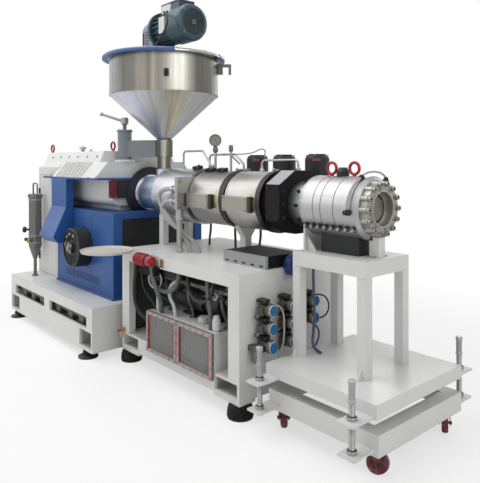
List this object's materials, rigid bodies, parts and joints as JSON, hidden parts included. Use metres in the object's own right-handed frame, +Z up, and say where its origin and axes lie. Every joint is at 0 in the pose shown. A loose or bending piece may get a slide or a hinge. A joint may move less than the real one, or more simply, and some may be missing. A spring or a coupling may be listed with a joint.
{
  "type": "plastic extruder",
  "caption": "Single-screw plastic extruder with drive cabinet, gearbox, heated barrel on a stand, swing-out hopper, and die on a castor trolley.",
  "frame": {"origin": "on the floor under the middle of the outline", "axes": "+X along the barrel from drive to die, +Z up, -Y is the operator's side"},
  "size_m": [3.679, 1.3968, 2.488],
  "materials": {
    "white_paint": "satin",
    "blue_paint": "satin",
    "grey_paint": "satin",
    "teal_paint": "satin",
    "red_paint": "gloss",
    "black_paint": "satin",
    "steel": "machined",
    "stainless": "brushed",
    "clear_window": "clear",
    "black_rubber": "matte",
    "grey_hose": "matte",
    "castor_tread": "moulded",
    "zinc": "plated"
  },
  "bodies": {
    "machine": {"base_deck": "white_paint", "base_sides": "white_paint", "rear_cover": "white_paint", "gearbox": "white_paint", "stand_top": "white_paint", "stand_legs": "white_paint", "stand_plinth": "white_paint", "end_panel": "white_paint", "table_top": "white_paint", "table_legs": "white_paint", "trolley_platform": "white_paint", "trolley_chassis": "white_paint", "die_saddles": "white_paint", "barrel_supports": "white_paint", "water_tank": "white_paint", "drive_cabinet": "blue_paint", "cabinet_ducts": "blue_paint", "cable_box": "grey_paint", "lifting_eyes": "red_paint", "coolant_pump": "red_paint", "drive_motor": "black_paint", "bell_housing": "black_paint", "barrel_rings": "black_paint", "heater_block": "black_paint", "vacuum_pump": "black_paint", "die_terminal_boxes": "black_paint", "blowers": "black_paint", "feed_barrel": "steel", "feed_throat": "steel", "barrel_flange": "steel", "die_neck": "steel", "die_body": "steel", "die_flange": "steel", "jack_screws": "steel", "levelling_feet": "steel", "vent_pipes": "steel", "valve_units": "steel", "oil_filter": "stainless", "barrel_shrouds": "stainless", "tool_tray": "stainless", "tank_windows": "clear_window", "heater_leads": "black_rubber", "cooling_hoses": "grey_hose"},
    "crane": {"crane_post": "grey_paint"},
    "feeder": {"swing_arm": "grey_paint", "hopper_drum": "stainless", "hopper_cone": "stainless", "hopper_neck": "stainless", "hopper_lid": "blue_paint", "gear_motor": "teal_paint", "gear_reducer": "teal_paint"},
    "lever": {"lift_lever": "steel"},
    "fork_near_front": {"castor_fork_near_front": "zinc"},
    "wheel_near_front": {"castor_wheel_near_front": "castor_tread"},
    "fork_near_rear": {"castor_fork_near_rear": "zinc"},
    "wheel_near_rear": {"castor_wheel_near_rear": "castor_tread"},
    "fork_far_front": {"castor_fork_far_front": "zinc"},
    "wheel_far_front": {"castor_wheel_far_front": "castor_tread"},
    "fork_far_rear": {"castor_fork_far_rear": "zinc"},
    "wheel_far_rear": {"castor_wheel_far_rear": "castor_tread"}
  },
  "joints": [
    {"name": "hopper_swing", "type": "hinge", "parent": "machine", "child": "crane", "pos_m": [-0.5995, -0.1145, 1.45], "axis": [0, 0, -1], "range_deg": [0, 90]},
    {"name": "hopper_lift", "type": "slide", "parent": "crane", "child": "feeder", "axis": [0, 0, 1], "range_m": [0, 0.04]},
    {"name": "lever_turn", "type": "hinge", "parent": "feeder", "child": "lever", "pos_m": [-0.5995, -0.1145, 1.66], "axis": [0, 0, 1], "range_deg": [-100, 100]},
    {"name": "swivel_near_front", "type": "hinge", "parent": "machine", "child": "fork_near_front", "pos_m": [1.7775, -0.2445, 0.126], "axis": [0, 0, 1], "continuous": true},
    {"name": "roll_near_front", "type": "hinge", "parent": "fork_near_front", "child": "wheel_near_front", "pos_m": [1.79193, -0.2279, 0.05], "axis": [-0.7547, 0.6561, 0], "continuous": true},
    {"name": "swivel_near_rear", "type": "hinge", "parent": "machine", "child": "fork_near_rear", "pos_m": [1.2455, -0.2445, 0.126], "axis": [0, 0, 1], "continuous": true},
    {"name": "roll_near_rear", "type": "hinge", "parent": "fork_near_rear", "child": "wheel_near_rear", "pos_m": [1.22865, -0.23036, 0.05], "axis": [-0.6428, -0.766, 0], "continuous": true},
    {"name": "swivel_far_front", "type": "hinge", "parent": "machine", "child": "fork_far_front", "pos_m": [1.7775, 0.3555, 0.126], "axis": [0, 0, 1], "continuous": true},
    {"name": "roll_far_front", "type": "hinge", "parent": "fork_far_front", "child": "wheel_far_front", "pos_m": [1.7885, 0.33645, 0.05], "axis": [0.866, 0.5, 0], "continuous": true},
    {"name": "swivel_far_rear", "type": "hinge", "parent": "machine", "child": "fork_far_rear", "pos_m": [1.2455, 0.3555, 0.126], "axis": [0, 0, 1], "continuous": true},
    {"name": "roll_far_rear", "type": "hinge", "parent": "fork_far_rear", "child": "wheel_far_rear", "pos_m": [1.22483, 0.36302, 0.05], "axis": [-0.342, -0.9397, 0], "continuous": true}
  ]
}
